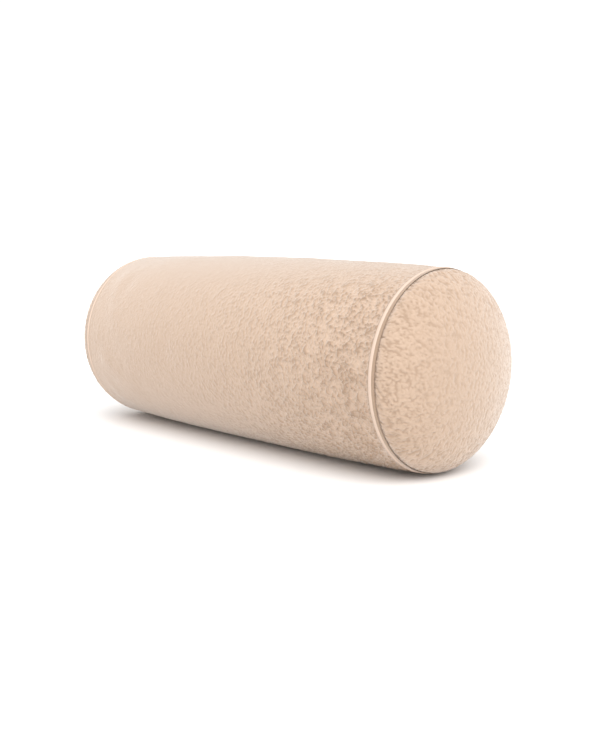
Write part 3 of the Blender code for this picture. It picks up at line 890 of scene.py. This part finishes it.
# The care label: a blank satin ribbon, folded once, with both ends caught in the cover's long seam
# just past the zip. It hangs down the back.
LABEL_THICKNESS = 0.0003
LABEL_FOLD = 0.0006
LABEL_GAP = 0.0005  # half the distance between its two layers
low, high = zip_box("care_label")
label_width, label_drop = high[0] - low[0], high[1] - max(low[1], 0.0)
ribbon_look = {"Base Color": (0.62, 0.60, 0.56, 1), "Roughness": 0.42, "Sheen Weight": 0.2}
ribbon = Finish("label_ribbon", ribbon_look)
ribbon.ribs(0.0004, 0.00004)
bpy.ops.mesh.primitive_grid_add(x_subdivisions=10, y_subdivisions=60, size=2)
label = added("label")
only(label)
flat = points_of(label)
# the distance along the ribbon, which is folded at 0
run = flat[:, 1] * (label_drop + 0.0012)
down = np.abs(run)
turned = np.clip(down / LABEL_FOLD, 0, 1)
dip = np.where(run < 0, -1, 1) * LABEL_GAP * np.sin(turned * math.pi / 2)
at_fold = (1 - np.cos(turned * math.pi / 2)) * LABEL_FOLD
y = high[1] - np.where(down > LABEL_FOLD, down, at_fold)
curl = 0.0006 * np.sin(flat[:, 0] * 1.9) * (1 - down / down.max())
reach = math.hypot(high[1], low[2]) + 0.0008  # the pillow's radius under it
z = np.sqrt(np.maximum(reach**2 - y**2, 0)) + dip + curl
x = (low[0] + high[0]) / 2 + flat[:, 0] * label_width / 2
place_points(label, np.stack([x, y, z], 1))
thickness = label.modifiers.new("Thickness", "SOLIDIFY")
thickness.thickness = LABEL_THICKNESS
thickness.offset = 0
bpy.ops.object.modifier_apply(modifier=thickness.name)
bpy.ops.object.shade_smooth_by_angle(angle=math.radians(50))
ride_in_zip(label, "cover", "care_label", ribbon)
2 * label_drop + 0.002

# The insert's casing: a plain cotton bag, a tube and two round ends, sewn edge to edge just behind
# the piping's seam. The filling keeps it taut.
CASING = 0.0008
CASING_DEPTH = BACKING + 0.0005
INSERT_GAP = 0.0003
INSERT_FACET = 0.090  # the insert gives way this far behind the zip
INSERT_STEPS = 120
PLY_EDGE = 0.076
END_CUT_RADIUS = 0.112  # the radius that an end is cut to, which is the length of the dome's arc


def past_seam(*points):
    """Points given in millimetres, by how far past the seam they are and by their radius."""
    return [(SEAM + x / 1000, r / 1000) for x, r in points]


def half_barrel(depth, last, count=16):
    return [(x, barrel_radius(x) - depth) for x in np.linspace(0, last, count)]


def both_ways(outer, inner):
    """A whole ring's outline from one half's outer line, middle to tip, and inner line, tip to middle."""
    half = outer + inner
    return half + [(-x, r) for x, r in reversed(half) if x > 0]


def wrinkle(piece, depth, grain, seed):
    """Gives a soft piece slight unevenness, so that it doesn't look turned on a lathe."""
    piece.data.update()
    places = points_of(piece)
    radial = places - np.stack([places[:, 0], places[:, 0] * 0, places[:, 0] * 0 + AXIS], 1)
    out = np.linalg.norm(radial, axis=1, keepdims=True)
    uneven = np.array([noise.noise(Vector(p) * grain + Vector((seed, 0, 0))) for p in places])
    places += radial / np.maximum(out, 1e-6) * (depth * uneven * (out[:, 0] > PLY_EDGE + 0.008))[:, None]
    place_points(piece, places)


def finish_insert(piece, node, look, facet=None, uneven=0.0, grain=60.0):
    if facet is not None:
        place_points(piece, settled(points_of(piece), facet))
    if uneven:
        wrinkle(piece, uneven, grain, len(node))
    look.put_on(piece)
    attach(piece, "cover")
    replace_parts(piece, node)


outer = half_barrel(CASING_DEPTH, SEAM - 0.012)
outer += past_seam((-7.6, 89.4), (-4.2, 85.6), (-2.8, 83.0), (-0.3, 82.4), (-0.3, 76.0))
inner = past_seam((-1.1, 76.0), (-1.1, 81.6), (-3.3, 82.2), (-5.0, 85.6), (-8.1, 88.7))
inner += half_barrel(CASING_DEPTH + CASING, SEAM - 0.012)[::-1]
tube = spun("casing_tube", both_ways(outer, inner), INSERT_STEPS)
finish_insert(tube, "inner_casing_tube", cotton, INSERT_FACET + CASING_DEPTH)
for end, side in (("right", 1), ("left", -1)):
    bag = past_seam((0.3, 76.0), (0.3, 82.4), (2.8, 83.0), (4.2, 85.6))
    bag += [tuple(p) for p in dome_line(CASING_DEPTH, 16)]
    bag += [tuple(p) for p in dome_line(CASING_DEPTH + CASING, 16)[::-1]]
    bag += past_seam((5.0, 85.6), (3.3, 82.2), (1.1, 81.6), (1.1, 76.0))
    cap = spun(f"casing_end_{end}", [(side * x, r) for x, r in bag], INSERT_STEPS)
    finish_insert(cap, f"inner_casing_end_{end}", cotton)
    cut = 2 * END_CUT_RADIUS
    math.pi * cut**2 / 4

# The wadding: a sheet of polyester fibre wrapped once round the core, its two edges butted along the
# top, and a thick pad of it at each end, which domes the casing.
wadding_look = {"Base Color": (0.87, 0.87, 0.86, 1), "Roughness": 1.0, "Sheen Weight": 0.5}
wadding = Finish("wadding", wadding_look)
wadding.bump(wadding.grain(500.0, 4.0, 2.5), 0.0012, 0.9)
WADDING_DEPTH = CASING_DEPTH + CASING + 0.0005
FOAM_RADIUS = 0.078
BUTT_GAP = 0.0006  # between the two edges that meet along the top
BORE = FOAM_RADIUS + INSERT_GAP
outer = half_barrel(WADDING_DEPTH, SEAM - 0.0125, 40)
outer += past_seam((-8.6, 88.0), (-5.7, 85.0), (-3.8, 81.6), (-1.6, 81.0))
inner = [(x, BORE) for x in np.linspace(SEAM - 0.0016, 0, 12)]
roll = spun("wadding_roll", both_ways(outer, inner), INSERT_STEPS)
bpy.ops.mesh.primitive_cube_add(size=1, location=(0, 0, AXIS + 0.095), scale=(0.5, BUTT_GAP, 0.06))
slit = added("slit")
only(roll)
cut = roll.modifiers.new("Slit", "BOOLEAN")
cut.object = slit
cut.operation = "DIFFERENCE"
bpy.ops.object.modifier_apply(modifier=cut.name)
bpy.data.objects.remove(slit)
finish_insert(roll, "wadding_wrap", wadding, INSERT_FACET + CASING_DEPTH, -0.0003)
foam_low, foam_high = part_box("foam_core")
for end, side in (("right", 1), ("left", -1)):
    pad = [(foam_high[0] + INSERT_GAP, 0.0)]
    pad += past_seam((-2.7, 75.6), (1.6, 75.6), (1.6, 81.0), (3.6, 81.6), (5.6, 85.0))
    pad += [tuple(p) for p in dome_line(WADDING_DEPTH, 20)]
    stuffing = spun(f"wadding_dome_{end}", [(side * x, r) for x, r in pad], INSERT_STEPS, closed=False)
    finish_insert(stuffing, f"wadding_pad_{end}", wadding)

# The core: a cylinder cut from open-cell foam, which keeps the pillow round. Nothing is glued: the
# wadding holds it all round, and the two pads hold it at its ends.
foam = Finish("foam", {"Roughness": 0.95})
pores = foam.field("ShaderNodeTexVoronoi", {}, {"Vector": foam.place(), "Scale": 750.0}, "Distance")
# The foam is darker where its pores sink deepest: painted shade in the pores.
foam.feed("Base Color", foam.mixed(pores, (0.62, 0.50, 0.26, 1), (0.88, 0.78, 0.50, 1)))
foam.bump(pores, 0.0006, 0.8)
bpy.ops.mesh.primitive_cylinder_add(
    vertices=INSERT_STEPS,
    radius=FOAM_RADIUS,
    depth=foam_high[0] - foam_low[0],
    location=(0, 0, AXIS),
    rotation=(0, math.pi / 2, 0),
)
core = added("foam_cylinder")
only(core)
bpy.ops.object.transform_apply(location=True, rotation=True, scale=True)
edges = core.modifiers.new("Edges", "BEVEL")
edges.width = 0.0015
edges.segments = 3
edges.limit_method = "ANGLE"
edges.angle_limit = math.radians(60)
bpy.ops.object.modifier_apply(modifier=edges.name)
bpy.ops.object.shade_smooth_by_angle(angle=math.radians(40))
finish_insert(core, "foam_core", foam)

# The stage: a plain white floor and an even white surround, with one large soft light from the front,
# above, and a camera that looks along the pillow from a little over it.
bpy.ops.mesh.primitive_plane_add(size=12, location=(0, 0, 0))
floor = added("floor")
floor_finish = Finish("floor", {"Base Color": (0.92, 0.92, 0.92, 1), "Roughness": 0.9})
floor_finish.put_on(floor)

world = bpy.data.worlds.new("studio")
bpy.context.scene.world = world
world.use_nodes = True
world.node_tree.nodes["Background"].inputs["Color"].default_value = (1, 1, 1, 1)
world.node_tree.nodes["Background"].inputs["Strength"].default_value = 1.06

bpy.ops.object.light_add(type="SUN", location=(0.6, 0.2, 1.2))
sun = added("soft_sun")
sun.data.angle = math.radians(60)
sun.data.energy = 2.3
sun.rotation_euler = Vector((0.62, -0.34, 0.95)).to_track_quat("Z", "Y").to_euler()

camera = bpy.data.objects.new("camera", bpy.data.cameras.new("camera"))
bpy.context.scene.collection.objects.link(camera)
camera.data.lens = 47.7
camera.data.sensor_width = 36
camera.location = (0.7856, -0.7208, 0.2263)
ahead = Vector((-0.71218, 0.68678, -0.14539))
camera.rotation_euler = ahead.to_track_quat("-Z", "Y").to_euler()
bpy.context.scene.camera = camera
bpy.context.scene.view_settings.view_transform = "Standard"
